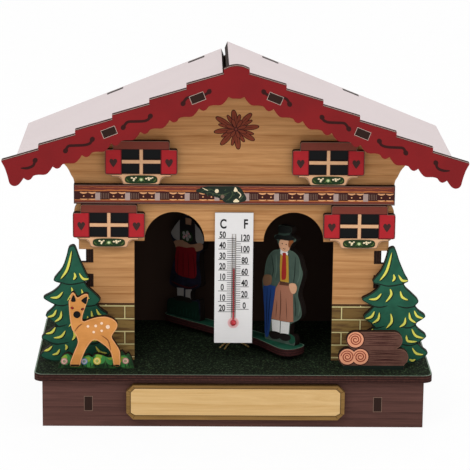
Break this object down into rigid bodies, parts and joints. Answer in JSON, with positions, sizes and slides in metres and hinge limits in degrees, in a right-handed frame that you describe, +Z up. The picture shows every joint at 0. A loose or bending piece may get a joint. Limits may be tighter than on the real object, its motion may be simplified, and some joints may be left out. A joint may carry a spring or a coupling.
{
  "type": "weather house thermometer hygrometer",
  "caption": "Plywood chalet weather house: a gut-hung platform swings a man and a woman out of two arches with the air's dampness, beside a spirit thermometer.",
  "frame": {"origin": "middle of the box's base, on the surface that the plinth stands on", "axes": "+Z up, the front with the arches and the nameplate faces -Y, +X runs to the viewer's right"},
  "size_m": [0.2, 0.092, 0.1627],
  "materials": {
    "plinth_wood": "dark brown stain with visible grain, satin",
    "lawn": "dark green flocked print, matt",
    "nameplate_wood": "light wood print with a dark outline, satin",
    "pine": "printed pine grain, satin",
    "brown_wood": "brown stain, matt",
    "plain_ply": "bare plywood",
    "roof_white": "snow white print, matt",
    "verge_red": "red print with engraved scrolls, satin",
    "balcony_print": "printed carved balcony, satin",
    "window_print": "red shutters with black panes and a brown lintel, satin",
    "tree_print": "dark green print with pale strokes, satin",
    "grass_print": "green print with flowers, satin",
    "fawn_print": "orange brown print with pale spots, satin",
    "log_print": "reddish brown print with spirals on the ends, satin",
    "scale_white": "white card with a printed scale",
    "thermometer_glass": "clear",
    "spirit_red": "dyed spirit",
    "peg_wood": "bare turned wood",
    "platform_paint": "green print with a maroon edge, satin",
    "figure_print": "printed figure on a dark edge, satin",
    "gut": "twisted gut"
  },
  "bodies": {
    "house": {"base_front": "plinth_wood", "base_back": "plinth_wood", "base_left_end": "plinth_wood", "base_right_end": "plinth_wood", "rib_left": "plinth_wood", "rib_right": "plinth_wood", "deck": "lawn", "nameplate": "nameplate_wood", "front_wall": "pine", "back_wall": "brown_wood", "left_wall": "pine", "right_wall": "pine", "attic_floor": "plain_ply", "roof_left": "roof_white", "roof_right": "roof_white", "bargeboard": "verge_red", "balcony": "balcony_print", "window_upper_left": "window_print", "window_upper_right": "window_print", "window_lower_left": "window_print", "window_lower_right": "window_print", "tree_left": "tree_print", "tree_right": "tree_print", "grass_strip": "grass_print", "fawn": "fawn_print", "log_pile": "log_print", "thermometer_plate": "scale_white", "thermometer_tube": "thermometer_glass", "spirit_column": "spirit_red"},
    "peg": {"gut_peg": "peg_wood"},
    "carousel": {"turntable": "platform_paint", "weather_man": "figure_print", "weather_woman": "figure_print", "gut_string": "gut"}
  },
  "joints": [
    {"name": "turntable_swing", "type": "hinge", "parent": "house", "child": "carousel", "pos_m": [0, 0.008, 0.0291], "axis": [0, 0, 1], "range_deg": [-3, 86]},
    {"name": "peg_turn", "type": "hinge", "parent": "house", "child": "peg", "pos_m": [0, 0.008, 0.1], "axis": [0, 0, 1], "range_deg": [-90, 90]}
  ]
}
